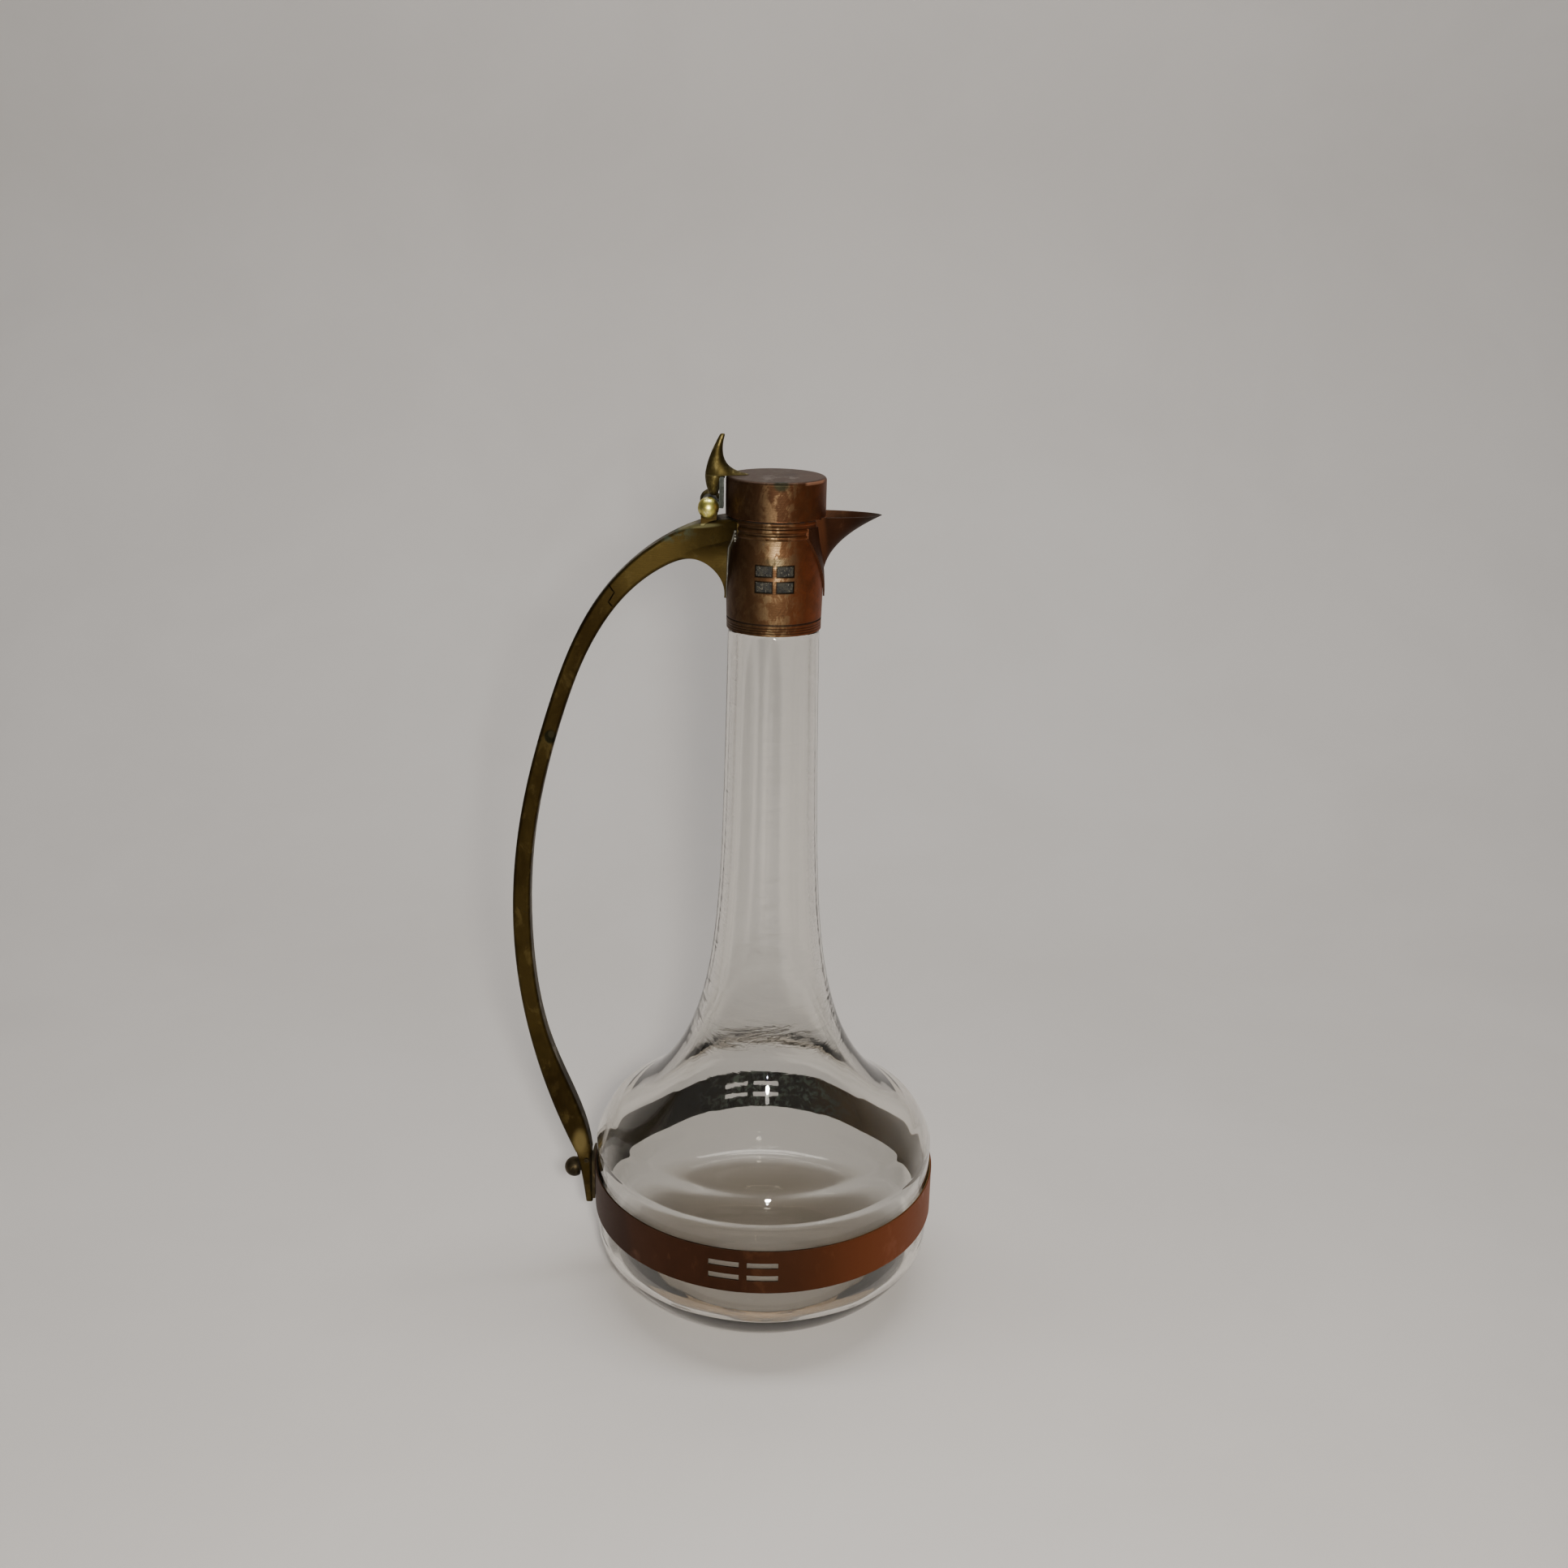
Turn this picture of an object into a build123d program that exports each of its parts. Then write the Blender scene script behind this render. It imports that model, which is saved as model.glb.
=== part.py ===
from build123d import *
import math
import os

# A claret jug: a blown glass body with copper mounts, a brass bow handle
# and a copper lid that hinges back on a pin between two brass balls.
# Millimetres, +Z up. The origin is the centre of the foot's ground face.
# The spout points along +X and the handle stands on the -X side.

# Glass body, from the foot upwards
foot_radius = 44.0
underside_bulge = 1.8
drum_radius = 66.1
drum_lift = 22.0
drum_height = 41.0
shoulder_rise = 9.8
shoulder_inset = 5.8
shoulder_bulge = 0.5
flare_height = 157.2
flare_start_angle = 31.7
flare_start_pull = 48.8
flare_neck_pull = 86.3
neck_radius = 17.0
neck_height = 38.3
neck_top_radius = 16.45
tenon_radius = 15.2
tenon_height = 28.5

# Glass thickness and the cavity
drum_wall = 3.0
neck_wall = 3.0
tenon_wall = 2.6
floor_thickness = 10.0
floor_bowl_rise = 14.0
shoulder_thickness = 4.4

# Collar, a turned copper tube cemented over the glass tenon
collar_wall = 0.6
collar_bottom_radius = 16.9
collar_belly_radius = 17.1
collar_waist_radius = 15.9
collar_height = 39.9
collar_belly_height = 16.0
collar_waist_height = 32.8
bead_radius = 1.0
bead_proud = 0.55
bead_pitch = 2.3
bead_count = 3
groove_height = 3.7
groove_depth = 0.25
groove_width = 0.6
window_width = 5.5
window_height = 3.5
window_pitch_across = 7.4
window_pitch_up = 5.5
window_centre_height = 20.2

# Spout, raised from copper sheet, with a flange that hugs the collar
spout_wall = 0.7
spout_reach = 37.2
spout_root_depth = 24.9
spout_half_width = 8.5
spout_keel_power = 2.5
spout_side_power = 0.75
spout_rim_rise = 0.7
spout_root_x = 12.0
spout_levels = 5
beak_low_share = 0.12
channel_low_share = 0.3
flange_wall = 0.6
flange_half_width = 12.0
flange_top_drop = 2.6
flange_straight = 3.4
flange_length = 26.0

# Handle, two brass castings joined by a stepped scarf
bow_width = 7.5
bow_edge_round = 1.2
bow_outer_stand = 38.4
bow_inner_stand = 34.9
root_reach = 23.0
root_depth = 10.3
root_top_drop = 0.9
root_crown_drop = 1.9
root_shoulder_drop = 8.3
hinge_seat_width = 11.4
saddle_width = 19.6
saddle_thickness = 0.8
saddle_straight = 3.3
saddle_waist_width = 10.2
saddle_waist_drop = 11.0
arch_reach = 11.7
arch_drop = 15.8
tail_length = 29.5
tail_width = 4.6
tail_thickness = 0.7
tail_swell = 3.3
tail_swell_height = 8.9
foot_depth = 6.4
foot_rise = 1.4
heel_rise = 7.5
heel_step = 1.1
tongue_shoulder = 0.2
tongue_seat_depth = 4.9
tongue_seat_drop = 5.0
tongue_waist_depth = 3.6
tongue_waist_drop = 13.5
tongue_tip_depth = 2.6
tongue_tip_width = 5.0
tongue_tip_drop = 4.0
scarf_drop = 29.8
scarf_reach = 41.7
scarf_angle = 51.0
scarf_step = 4.1
scarf_gap = 0.08

# Lid and its hinge
lid_radius = 17.6
lid_height = 13.5
lid_wall = 0.8
lid_edge_round = 1.3
seat_ring_height = 1.2
seat_lip_width = 1.0
seat_lip_depth = 1.6
seat_lip_gap = 0.8
pin_stand_off = 5.7
pin_rise = 3.2
pin_radius = 1.2
knuckle_radius = 2.75
knuckle_length = 5.8
ear_thickness = 2.1
ear_sink = 2.4
hinge_ball_radius = 3.7
ball_socket_depth = 3.0
leaf_thickness = 1.5
leaf_stand_off = 0.7
leaf_top_drop = 0.6
web_thickness = 2.4

# Belly band, with pierced slots, and what fastens the handle's foot to it
band_bottom_height = 34.5
band_width = 17.6
band_wall = 0.7
slot_length = 11.5
slot_height = 2.4
slot_pitch_around = 12.4
slot_pitch_up = 5.3
slot_turn = -5.8
lug_thickness = 1.2
lug_width = 14.0
lug_inset = 0.4
screw_rise = 10.6
screw_ball_radius = 3.9
screw_ball_stand = 7.2
screw_shank_radius = 1.6
foot_pin_radius = 0.9
foot_pin_rise = 15.5
foot_pin_inset = 2.0
foot_pin_proud = 0.3

# Fits between pieces
fit_gap = 0.1
lid_gap = 0.3
running_gap = 0.05

# Heights and places that follow from the sizes above
shoulder_z = drum_lift + drum_height
flare_z = shoulder_z + shoulder_rise
neck_z = flare_z + flare_height
collar_z = neck_z + neck_height
tenon_top_z = collar_z + tenon_height
collar_top_z = collar_z + collar_height
lid_bottom_z = collar_top_z + lid_gap
lid_top_z = lid_bottom_z + lid_height
pin_x = -(lid_radius + pin_stand_off)
pin_z = lid_bottom_z + pin_rise
band_inner_radius = drum_radius + fit_gap
band_outer_radius = band_inner_radius + band_wall
band_top_z = band_bottom_height + band_width
screw_z = band_bottom_height + screw_rise
foot_pin_z = band_bottom_height + foot_pin_rise
lug_inner_radius = band_outer_radius + fit_gap
foot_face_x = -(lug_inner_radius + lug_thickness + fit_gap)
flange_top_z = collar_top_z - flange_top_drop
overcut = 5.0

# The bow's shape: how far along it each point lies, and its share of the stand-off
BOW_SHAPE = ((0.1, 0.57), (0.25, 0.86), (0.445, 1.0), (0.66, 0.87), (0.83, 0.535))

# The horn's sections: rise over the lid's top, how far its back and its front
# lie behind the lid's edge, and its half width. The heel just clears the barrel.
HORN_HEEL = (5.3, 2.1, 2.3)
HORN_SECTIONS = (
    (-4.0, 6.5, 1.3, 2.9),
    (0.0, 7.3, -0.8, 3.4),
    (3.0, 7.1, -2.9, 3.4),
    (5.0, 6.6, -1.6, 3.1),
    (7.2, 5.8, 0.0, 2.6),
    (10.4, 4.0, 0.85, 1.6),
    (14.1, 1.4, 0.8, 0.35),
)

# The horn's tail on the lid: how far in from the lid's edge, height and half width
TAIL_SECTIONS = (
    (-0.6, 4.4, 3.0),
    (1.0, 4.6, 3.3),
    (2.4, 3.5, 3.0),
    (4.2, 2.0, 2.3),
    (6.2, 1.0, 1.5),
    (7.9, 0.5, 0.7),
)


def turned(outline):
    """A solid turned from a closed outline drawn in the XZ plane."""
    return revolve(make_face(outline), axis=Axis.Z)


def disc(radius, bottom, top):
    """An upright cylinder between two heights."""
    upright = (Align.CENTER, Align.CENTER, Align.MIN)
    return Pos(0, 0, bottom) * Cylinder(radius, top - bottom, align=upright)


def side_plate(outline, width):
    """A plate cut to an outline in the XZ plane, centred on Y = 0."""
    return Pos(0, -width / 2, 0) * extrude(make_face(outline), amount=width, dir=(0, 1, 0))


def cross_rod(radius, x, z, y_low, y_high):
    """A round rod along Y between two places."""
    rod = Cylinder(radius, y_high - y_low, rotation=(90, 0, 0))
    return Pos(x, (y_low + y_high) / 2, z) * rod


def bulged_line(start, end, bulge):
    """A shallow arc in the XZ plane that bulges to the right of its travel."""
    run_x = end[0] - start[0]
    run_z = end[1] - start[1]
    length = math.hypot(run_x, run_z)
    middle_x = (start[0] + end[0]) / 2 + bulge * run_z / length
    middle_z = (start[1] + end[1]) / 2 - bulge * run_x / length
    return ThreePointArc((start[0], 0, start[1]), (middle_x, 0, middle_z), (end[0], 0, end[1]))


def flare_line(neck_edge, rim_edge, neck_in, rim_in, rim_down):
    """The flare from the neck to the shoulder, moved inwards for the inner face."""
    angle = math.radians(flare_start_angle)
    pull_x = rim_edge[0] - flare_start_pull * math.cos(angle) - rim_in
    pull_z = rim_edge[1] + flare_start_pull * math.sin(angle) - rim_down
    neck_x = neck_edge[0] + (neck_radius - neck_top_radius) * flare_neck_pull / neck_height
    return Bezier(
        (neck_edge[0] - neck_in, 0, neck_edge[1]),
        (neck_x - neck_in, 0, neck_edge[1] - flare_neck_pull),
        (pull_x, 0, pull_z),
        (rim_edge[0] - rim_in, 0, rim_edge[1] - rim_down),
    )


def make_glass_body():
    rim = (drum_radius - shoulder_inset, flare_z)
    neck = (neck_radius, neck_z)
    rim_in = shoulder_thickness * math.sin(math.radians(flare_start_angle))
    rim_down = shoulder_thickness * math.cos(math.radians(flare_start_angle))
    inner_rim = (rim[0] - rim_in, rim[1] - rim_down)
    inner_radius = drum_radius - drum_wall
    inner_corner_z = inner_rim[1] - shoulder_rise
    bowl_z = floor_thickness + floor_bowl_rise
    bore_radius = tenon_radius - tenon_wall
    ledge_z = collar_z - fit_gap

    outer = [
        Line((0, 0, 0), (foot_radius, 0, 0)),
        bulged_line((foot_radius, 0), (drum_radius, drum_lift), underside_bulge),
        Line((drum_radius, 0, drum_lift), (drum_radius, 0, shoulder_z)),
        bulged_line((drum_radius, shoulder_z), rim, shoulder_bulge),
        flare_line(neck, rim, 0, 0, 0),
        Line((neck_radius, 0, neck_z), (neck_top_radius, 0, ledge_z)),
        Line((neck_top_radius, 0, ledge_z), (tenon_radius, 0, ledge_z)),
        Line((tenon_radius, 0, ledge_z), (tenon_radius, 0, tenon_top_z)),
    ]
    inner = [
        Line((tenon_radius, 0, tenon_top_z), (bore_radius, 0, tenon_top_z)),
        Line((bore_radius, 0, tenon_top_z), (neck_radius - neck_wall, 0, neck_z)),
        flare_line(neck, rim, neck_wall, rim_in, rim_down),
        Line((inner_rim[0], 0, inner_rim[1]), (inner_radius, 0, inner_corner_z)),
        Line((inner_radius, 0, inner_corner_z), (inner_radius, 0, bowl_z)),
        Bezier(
            (inner_radius, 0, bowl_z),
            (inner_radius, 0, floor_thickness),
            (inner_radius / 2, 0, floor_thickness),
            (0, 0, floor_thickness),
        ),
        Line((0, 0, floor_thickness), (0, 0, 0)),
    ]
    return turned(outer + inner)


def collar_core(offset):
    """The collar's outer form, filled to the axis and moved in by an offset."""
    side = Spline(
        (collar_bottom_radius - offset, 0, collar_z),
        (collar_belly_radius - offset, 0, collar_z + collar_belly_height),
        (collar_waist_radius - offset, 0, collar_z + collar_waist_height),
        (collar_waist_radius - offset, 0, collar_top_z),
        tangents=((0, 0, 1), (0, 0, 1)),
    )
    outline = [
        Line((0, 0, collar_z), (collar_bottom_radius - offset, 0, collar_z)),
        side,
        Line((collar_waist_radius - offset, 0, collar_top_z), (0, 0, collar_top_z)),
        Line((0, 0, collar_top_z), (0, 0, collar_z)),
    ]
    return turned(outline)


def collar_windows():
    """Four small openings, two by two, through the front and back of the collar."""
    cuts = []
    for across in (-0.5, 0.5):
        for up in (-0.5, 0.5):
            centre_z = collar_z + window_centre_height + up * window_pitch_up
            cut = Box(window_width, 3 * collar_belly_radius, window_height)
            cuts.append(Pos(across * window_pitch_across, 0, centre_z) * cut)
    return cuts


def bead_clearance(half_width, bottom, top, side):
    """The space beside the collar where a mount sits and the beads are filed away."""
    width = 2 * (half_width + fit_gap)
    along = Align.MIN if side > 0 else Align.MAX
    block = Box(lid_radius, width, top - bottom, align=(along, Align.CENTER, Align.MIN))
    return Pos(0, 0, bottom) * block


def make_beads():
    """The turned beads round the waist, which stop at the saddle and at the spout."""
    beads = []
    for index in range(bead_count):
        bead_z = collar_top_z - bead_radius - index * bead_pitch
        ring_radius = collar_waist_radius - bead_radius + bead_proud
        bead = Pos(0, 0, bead_z) * Torus(ring_radius, bead_radius)
        bead -= disc(collar_waist_radius - collar_wall / 2, collar_z, lid_top_z)
        bead -= bead_clearance(saddle_width / 2, collar_z, lid_top_z, -1)
        bead -= bead_clearance(spout_half_width, collar_z, lid_top_z, 1)
        bead -= bead_clearance(flange_half_width, collar_z, flange_top_z + fit_gap, 1)
        beads.append(bead)
    return beads


def make_collar():
    shell = collar_core(0) - collar_core(collar_wall)
    for bead in make_beads():
        shell += bead
    groove_z = collar_z + groove_height
    groove = disc(lid_radius, groove_z, groove_z + groove_width)
    groove -= disc(collar_bottom_radius - groove_depth, groove_z, groove_z + groove_width)
    shell -= groove
    for cut in collar_windows():
        shell -= cut
    return shell - spout_mouth()


def make_neck_cement():
    fill = collar_core(collar_wall + fit_gap) & disc(lid_radius, collar_z, tenon_top_z)
    return fill - disc(tenon_radius + fit_gap, collar_z - overcut, tenon_top_z + overcut)


def spout_section(share, inset):
    """A half ellipse across the spout at a share of its depth."""
    height = collar_top_z + spout_rim_rise - (1 - share) * spout_root_depth
    reach = collar_bottom_radius + (spout_reach - collar_bottom_radius) * share**spout_keel_power
    half_width = spout_half_width * share**spout_side_power - inset
    length = reach - spout_root_x - inset
    centre = (spout_root_x, 0, height)
    nose = EllipticalCenterArc(centre, length, half_width, -90, arc_size=180)
    return make_face([nose, Line(nose @ 1, nose @ 0)])


def spout_form(inset, lowest_share):
    """The filled beak, or with an inset the channel inside it."""
    rise = (1 - lowest_share) / spout_levels
    shares = [lowest_share + rise * level for level in range(spout_levels + 1)]
    faces = [spout_section(share, inset) for share in shares]
    return loft(faces)


def spout_channel():
    top = spout_section(1.0, spout_wall)
    return spout_form(spout_wall, channel_low_share) + extrude(top, amount=overcut, dir=(0, 0, 1))


def spout_mouth():
    """The hole that leads from the collar into the channel, above the glass."""
    hole_bottom = tenon_top_z + 2 * fit_gap
    ring = disc(spout_reach, hole_bottom, collar_top_z + overcut)
    return spout_channel() & ring


def make_spout():
    outline = Polyline(
        (0, -flange_half_width, flange_top_z),
        (0, flange_half_width, flange_top_z),
        (0, flange_half_width, flange_top_z - flange_straight),
        (0, 0, flange_top_z - flange_length),
        (0, -flange_half_width, flange_top_z - flange_straight),
        close=True,
    )
    cutter = extrude(make_face(outline), amount=lid_radius * 2, dir=(1, 0, 0))
    flange = (collar_core(-fit_gap - flange_wall) - collar_core(-fit_gap)) & cutter
    beak = spout_form(0, beak_low_share) - collar_core(-fit_gap)
    beak -= disc(lid_radius + lid_gap, collar_top_z, collar_top_z + overcut)
    return beak + flange - spout_channel()


def bow_points(start, end, stand):
    """Points of the bow between its ends, standing off the straight line between them."""
    points = []
    for share, swell in BOW_SHAPE:
        along_x = start[0] + (end[0] - start[0]) * share
        along_z = start[1] + (end[1] - start[1]) * share
        points.append((along_x - stand * swell, 0, along_z))
    return points


def mirrored_face(edges, plane):
    """The face between a run of edges and its mirror image in a plane."""
    twins = [edge.mirror(plane) for edge in edges]
    ends = [Line(edges[-1] @ 1, twins[-1] @ 1), Line(twins[0] @ 0, edges[0] @ 0)]
    return make_face([*edges, *twins, *ends])


def handle_side_outline():
    """The handle from the side: the saddle and the bow, down to the foot."""
    root_x = -collar_waist_radius
    inside_x = root_x + overcut
    top_z = collar_top_z - root_top_drop
    tail_z = collar_top_z - tail_length
    tail_x = -(collar_belly_radius + tail_thickness)
    crown = (root_x - root_reach, collar_top_z - root_shoulder_drop)
    belly = (crown[0], crown[1] - root_depth)
    foot_z = band_top_z + foot_rise
    knee = (foot_face_x - foot_depth, foot_z)
    heel = (foot_face_x - heel_step, foot_z + heel_rise)
    outer = Spline(
        (inside_x, 0, top_z),
        (pin_x, 0, top_z - root_crown_drop / 2),
        (crown[0], 0, crown[1]),
        *bow_points(crown, knee, bow_outer_stand),
        (knee[0], 0, knee[1]),
    )
    inner = Spline(
        (foot_face_x, 0, foot_z),
        (heel[0], 0, heel[1]),
        *reversed(bow_points(belly, heel, bow_inner_stand)),
        (belly[0], 0, belly[1]),
        (root_x - arch_reach, 0, collar_top_z - arch_drop),
        (-(collar_belly_radius + tail_swell), 0, tail_z + tail_swell_height),
        (tail_x, 0, tail_z),
    )
    return [
        outer,
        Line(outer @ 1, inner @ 0),
        inner,
        Line(inner @ 1, (inside_x, 0, tail_z)),
        Line((inside_x, 0, tail_z), outer @ 0),
    ]


def handle_plan():
    """The handle from above: a straight bar that flares out to the saddle's edges."""
    half = bow_width / 2
    bar_end = -(collar_waist_radius + root_reach)
    edge_x = -math.sqrt(collar_waist_radius**2 - (saddle_width / 2) ** 2) - saddle_thickness
    bar = Line((bar_end * 4, half, 0), (bar_end, half, 0))
    flare = Spline(
        (bar_end, half, 0),
        (pin_x, hinge_seat_width / 2, 0),
        (edge_x, saddle_width / 2, 0),
        (edge_x + overcut, saddle_width / 2 + overcut, 0),
        tangents=((1, 0, 0), (1, 1, 0)),
    )
    return extrude(mirrored_face([bar, flare], Plane.XZ), amount=lid_top_z, dir=(0, 0, 1))


def saddle_trim():
    """What is cut from beside the tail and under the saddle's wings, clear of the bow."""
    tail_z = collar_top_z - tail_length
    bow_bottom_z = collar_top_z - root_shoulder_drop - root_depth
    side = Spline(
        (0, tail_width / 2, tail_z),
        (0, bow_width / 2 + fit_gap, bow_bottom_z),
        (0, saddle_waist_width / 2, collar_top_z - saddle_waist_drop),
        (0, saddle_width / 2, collar_top_z - root_top_drop - saddle_straight),
        tangents=((0, 0, 1), (0, 0, 1)),
    )
    edges = [
        Line((0, tail_width / 2, tail_z - overcut), side @ 0),
        side,
        Line(side @ 1, (0, saddle_width / 2, lid_top_z)),
    ]
    depth = collar_waist_radius + root_reach
    keep = extrude(mirrored_face(edges, Plane.XZ), amount=depth, dir=(-1, 0, 0))
    block_height = lid_top_z - tail_z + overcut
    block = Box(depth, 4 * saddle_width, block_height, align=(Align.MAX, Align.CENTER, Align.MAX))
    return Pos(0, 0, lid_top_z) * block - keep


def make_tongue():
    """The tapered tongue below the bow, which lies on the band's lug."""
    foot_z = band_top_z + foot_rise
    tip_z = band_bottom_height - tongue_tip_drop
    step = tongue_shoulder
    stations = [
        (foot_z, step, foot_depth - 2 * step, bow_width - 2 * step),
        (foot_z - tongue_seat_drop, 0, tongue_seat_depth, bow_width - 2 * step),
        (foot_z - tongue_waist_drop, 0, tongue_waist_depth, bow_width - 2 * step),
        (tip_z, 0, tongue_tip_depth, tongue_tip_width),
    ]
    sections = []
    for height, back, depth, width in stations:
        corner = min(bow_edge_round, depth / 3)
        middle_x = foot_face_x - back - depth / 2
        sections.append(Pos(middle_x, 0, height) * RectangleRounded(depth, width, corner))
    root = extrude(sections[0], amount=foot_rise, dir=(0, 0, 1))
    return loft(sections, ruled=True) + root


def handle_blank():
    """The handle before it is cut in two, with its long edges rounded."""
    blank = side_plate(handle_side_outline(), saddle_width * 2) & handle_plan()
    bow_edges = blank.edges().sort_by(SortBy.LENGTH)[-4:]
    blank = fillet(bow_edges, bow_edge_round)
    blank -= saddle_trim()
    return blank - collar_core(-fit_gap) + make_tongue()


def scarf_cutter(gap):
    """The region above the stepped scarf, grown by a gap."""
    centre_x = -(collar_waist_radius + scarf_reach)
    centre_z = collar_top_z - scarf_drop
    angle = math.radians(scarf_angle)
    along = (-math.cos(angle), -math.sin(angle))
    inward = (math.sin(angle), -math.cos(angle))
    far = root_depth + overcut

    def at(down, across):
        x = centre_x + along[0] * down + inward[0] * across
        z = centre_z + along[1] * down + inward[1] * across
        return (x, 0, z)

    outline = Polyline(
        at(gap - scarf_step / 2, -far),
        at(gap - scarf_step / 2, -gap),
        at(gap + scarf_step / 2, -gap),
        at(gap + scarf_step / 2, far),
        (0, 0, at(gap + scarf_step / 2, far)[2]),
        (0, 0, lid_top_z),
        (at(0, -far)[0], 0, lid_top_z),
        close=True,
    )
    return side_plate(outline, saddle_width * 2)


def hinge_ears():
    """The two ears that carry the pin, standing on the handle's root."""
    ears = []
    for side in (-1, 1):
        near = side * (knuckle_length / 2 + lid_gap)
        far = near + side * ear_thickness
        low, high = min(near, far), max(near, far)
        base_z = collar_top_z - root_top_drop - ear_sink
        hung = (Align.CENTER, Align.MIN, Align.MAX)
        web = Box(2 * knuckle_radius, ear_thickness, pin_z - base_z, align=hung)
        ears.append(cross_rod(knuckle_radius, pin_x, pin_z, low, high) + Pos(pin_x, low, pin_z) * web)
    return ears


def make_handle_upper(blank):
    upper = blank & scarf_cutter(0)
    for ear in hinge_ears():
        upper += ear - collar_core(-fit_gap)
    return upper - cross_rod(pin_radius, pin_x, pin_z, -saddle_width, saddle_width)


def screw_shank(radius):
    """The screw's shank, which runs in through the tongue to the lug."""
    length = screw_ball_stand + lug_thickness + fit_gap
    outward = (Align.CENTER, Align.CENTER, Align.MIN)
    rod = Cylinder(radius, length, rotation=(0, 90, 0), align=outward)
    return Pos(foot_face_x - screw_ball_stand, 0, screw_z) * rod


def make_handle_lower(blank):
    lower = blank - scarf_cutter(scarf_gap)
    lower -= screw_shank(screw_shank_radius + fit_gap)
    pin_at = foot_face_x - foot_pin_inset
    return lower - cross_rod(foot_pin_radius, pin_at, foot_pin_z, -bow_width, bow_width)


def make_clamp_screw():
    """The screw, whose ball head has a flat that bears on the tongue."""
    ball = Pos(foot_face_x - screw_ball_stand, 0, screw_z) * Sphere(screw_ball_radius)
    seat_x = foot_face_x - tongue_seat_depth - fit_gap
    reach = 4 * screw_ball_radius
    outside = Box(reach, reach, reach, align=(Align.MAX, Align.CENTER, Align.CENTER))
    ball &= Pos(seat_x, 0, screw_z) * outside
    return ball + screw_shank(screw_shank_radius)


def make_foot_pin():
    half = bow_width / 2 + foot_pin_proud
    return cross_rod(foot_pin_radius, foot_face_x - foot_pin_inset, foot_pin_z, -half, half)


def make_belly_band():
    band = disc(band_outer_radius, band_bottom_height, band_top_z)
    band -= disc(band_inner_radius, band_bottom_height - overcut, band_top_z + overcut)
    middle_z = (band_bottom_height + band_top_z) / 2
    for side in (-1, 1):
        for around in (-0.5, 0.5):
            for up in (-0.5, 0.5):
                turn = -side * (slot_turn + around * slot_pitch_around)
                cut = Pos(0, side * drum_radius, middle_z + up * slot_pitch_up)
                cut *= Box(slot_length, 2 * overcut, slot_height)
                band -= Rot(0, 0, turn) * cut
    return band


def make_band_lug():
    low = band_bottom_height + lug_inset
    pad = disc(lug_inner_radius + lug_thickness, low, band_top_z - lug_inset)
    pad -= disc(lug_inner_radius, band_bottom_height - overcut, band_top_z + overcut)
    handle_side = (Align.MAX, Align.CENTER, Align.CENTER)
    keep = Box(2 * drum_radius, lug_width, 2 * band_top_z, align=handle_side)
    return (pad & keep) - screw_shank(screw_shank_radius)


def make_lid():
    cap = disc(lid_radius, lid_bottom_z, lid_top_z)
    cap = fillet(cap.edges().group_by(Axis.Z)[-1], lid_edge_round)
    return cap - disc(lid_radius - lid_wall, lid_bottom_z - overcut, lid_top_z - lid_wall)


def make_lid_seat_ring():
    lip_radius = collar_waist_radius - collar_wall - seat_lip_gap
    ring = disc(lid_radius - lid_wall - fit_gap, lid_bottom_z, lid_bottom_z + seat_ring_height)
    ring += disc(lip_radius, lid_bottom_z - seat_lip_depth, lid_bottom_z)
    return ring - disc(lip_radius - seat_lip_width, lid_bottom_z - overcut, lid_top_z)


def make_hinge_pin():
    reach = knuckle_length / 2 + lid_gap + ear_thickness + fit_gap + ball_socket_depth
    return cross_rod(pin_radius, pin_x, pin_z, -reach, reach)


def make_hinge_ball(side, pin, ear_side):
    bottom = knuckle_length / 2 + lid_gap + ear_thickness + fit_gap
    seat = math.sqrt(hinge_ball_radius**2 - pin_radius**2)
    ball = Pos(pin_x, side * (bottom + seat), pin_z) * Sphere(hinge_ball_radius)
    return ball - pin - ear_side


def make_hinge_leaf():
    half = knuckle_length / 2
    barrel = cross_rod(knuckle_radius, pin_x, pin_z, -half, half)
    plate_x = -(lid_radius + leaf_stand_off)
    plate_top = lid_top_z - leaf_top_drop
    low = (Align.MAX, Align.CENTER, Align.MIN)
    plate = Box(leaf_thickness, knuckle_length, plate_top - pin_z + web_thickness / 2, align=low)
    plate = Pos(plate_x, 0, pin_z - web_thickness / 2) * plate
    web = Box(plate_x - pin_x, knuckle_length, web_thickness)
    leaf = barrel + plate + Pos((plate_x + pin_x) / 2, 0, pin_z) * web
    return leaf - cross_rod(pin_radius + running_gap, pin_x, pin_z, -saddle_width, saddle_width)


def horn_section(rise, back, front, half_width):
    """A level ellipse of the horn, at a rise over the lid's top."""
    middle = -(lid_radius + (back + front) / 2)
    ellipse = Ellipse((back - front) / 2, half_width)
    return Pos(middle, 0, lid_top_z + rise) * ellipse


def tail_section(inset, height, half_width):
    """An upright half ellipse of the horn's tail, which lies on the lid."""
    sink = lid_edge_round
    place = (-(lid_radius - inset), 0, lid_top_z - sink)
    plane = Plane(origin=place, x_dir=(0, 1, 0), z_dir=(1, 0, 0))
    arc = EllipticalCenterArc((0, 0), half_width, height + sink, 0, arc_size=180)
    return plane * make_face([arc, Line(arc @ 1, arc @ 0)])


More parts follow.
